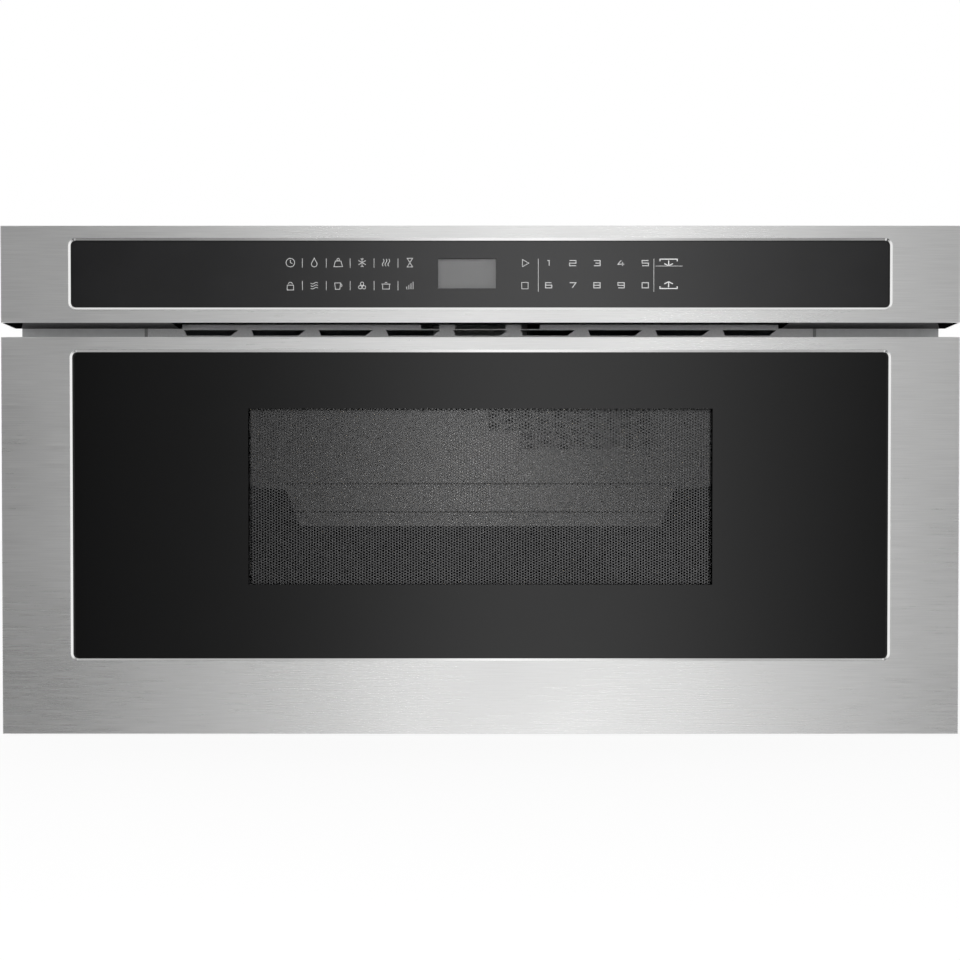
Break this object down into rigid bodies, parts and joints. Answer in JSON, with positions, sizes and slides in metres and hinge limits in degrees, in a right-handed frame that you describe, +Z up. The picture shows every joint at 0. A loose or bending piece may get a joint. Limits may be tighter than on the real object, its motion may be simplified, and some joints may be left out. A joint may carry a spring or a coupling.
{
  "type": "microwave drawer",
  "caption": "Built-in microwave drawer: stainless control panel over a stainless drawer front with a black glass window, in a sheet-steel body.",
  "frame": {"origin": "under the middle of the outer box, at the bottom of the base runners", "axes": "+X to the right seen from the front, +Y back into the cabinet, +Z up"},
  "size_m": [0.76, 0.63, 0.405],
  "materials": {
    "brushed_stainless": "horizontal brushed grain",
    "black_glass": "polished glass, black enamel behind it",
    "clear_glass": "polished",
    "screen_steel": "perforated, black",
    "grille_paint": "grey, satin",
    "black_plastic": "moulded, fine texture",
    "galvanised_steel": "galvanised",
    "zinc_screws": "zinc plated",
    "cavity_paint": "light grey enamel",
    "tub_coating": "dark grey coating",
    "shelf_ceramic": "dark glass-ceramic",
    "slide_steel": "rolled, zinc plated",
    "rack_plastic": "moulded acetal",
    "stirrer_aluminium": "stamped",
    "mica": "mica sheet",
    "motor_steel": "plated can",
    "magnetron_metal": "plated yoke and fins",
    "core_steel": "varnished laminations",
    "copper_winding": "enamelled wire",
    "capacitor_can": "drawn can",
    "circuit_board": "glass fibre board",
    "display_face": "smoked display",
    "touch_film": "printed film",
    "lamp": "clear bulb",
    "sensor_metal": "plated cap"
  },
  "bodies": {
    "chassis": {"base_plate": "galvanised_steel", "base_runners": "galvanised_steel", "side_panels": "galvanised_steel", "top_cover": "galvanised_steel", "back_panel": "galvanised_steel", "cover_screws": "zinc_screws", "cord_gland": "black_plastic", "front_flange": "galvanised_steel", "vent_grille": "grille_paint", "cavity_floor": "cavity_paint", "cavity_sides": "cavity_paint", "cavity_rear_wall": "cavity_paint", "cavity_ceiling": "cavity_paint", "stirrer_cover": "mica", "waveguide": "galvanised_steel", "stirrer_motor": "motor_steel", "magnetron": "magnetron_metal", "transformer_core": "core_steel", "transformer_coils": "copper_winding", "hv_capacitor": "capacitor_can", "line_filter": "circuit_board", "fan_housing": "black_plastic", "fan_motor": "motor_steel", "air_duct": "black_plastic", "exhaust_duct": "black_plastic", "oven_lamp": "lamp", "cavity_sensors": "sensor_metal", "control_panel_skin": "brushed_stainless", "control_glass": "black_glass", "touch_sensor": "touch_film", "display_module": "display_face", "control_board": "circuit_board", "control_housing": "black_plastic", "drive_motor": "motor_steel", "drive_brackets": "galvanised_steel", "rail_supports": "galvanised_steel", "slide_outers": "slide_steel", "interlock_switches": "black_plastic"},
    "drawer": {"drawer_front_skin": "brushed_stainless", "drawer_glass": "black_glass", "window_screen": "screen_steel", "door_panel": "galvanised_steel", "inner_glass": "clear_glass", "choke_ring": "galvanised_steel", "choke_cover": "black_plastic", "drawer_tub": "tub_coating", "cooking_shelf": "shelf_ceramic", "rail_arms": "galvanised_steel", "slide_inners": "slide_steel", "drive_racks": "rack_plastic", "latch_hooks": "black_plastic"},
    "slide_middle_left": {"slide_middle_left": "slide_steel"},
    "slide_middle_right": {"slide_middle_right": "slide_steel"},
    "drive_shaft": {"drive_shaft": "slide_steel", "drive_pinions": "rack_plastic"},
    "cooling_fan": {"cooling_fan": "black_plastic"},
    "stirrer": {"stirrer_fan": "stirrer_aluminium"},
    "interlock_plunger_left": {"interlock_plunger_left": "rack_plastic"},
    "interlock_plunger_right": {"interlock_plunger_right": "rack_plastic"}
  },
  "joints": [
    {"name": "drawer_slide", "type": "slide", "parent": "chassis", "child": "drawer", "axis": [0, -1, 0], "range_m": [0, 0.381]},
    {"name": "slide_middle_left_slide", "type": "slide", "parent": "chassis", "child": "slide_middle_left", "axis": [0, -1, 0], "range_m": [0, 0.191]},
    {"name": "slide_middle_right_slide", "type": "slide", "parent": "chassis", "child": "slide_middle_right", "axis": [0, -1, 0], "range_m": [0, 0.191]},
    {"name": "drive_shaft_turn", "type": "hinge", "parent": "chassis", "child": "drive_shaft", "pos_m": [0, -0.235, 0.052], "axis": [1, 0, 0], "range_deg": [0, 1027.8]},
    {"name": "cooling_fan_spin", "type": "hinge", "parent": "chassis", "child": "cooling_fan", "pos_m": [0.205, 0.295, 0.205], "axis": [0, 1, 0], "continuous": true},
    {"name": "stirrer_spin", "type": "hinge", "parent": "chassis", "child": "stirrer", "pos_m": [0, -0.05875, 0.3], "axis": [0, 0, 1], "continuous": true},
    {"name": "plunger_left_press", "type": "slide", "parent": "chassis", "child": "interlock_plunger_left", "axis": [0, 1, 0], "range_m": [0, 0.0015], "stiffness_N_per_m": 200},
    {"name": "plunger_right_press", "type": "slide", "parent": "chassis", "child": "interlock_plunger_right", "axis": [0, 1, 0], "range_m": [0, 0.0015], "stiffness_N_per_m": 200}
  ],
  "couplings": [
    {"joint": "slide_middle_left_slide", "follows": "drawer_slide", "ratio": 0.5},
    {"joint": "slide_middle_right_slide", "follows": "drawer_slide", "ratio": 0.5},
    {"joint": "drive_shaft_turn", "follows": "drawer_slide", "rad_per_m": 47.059}
  ]
}
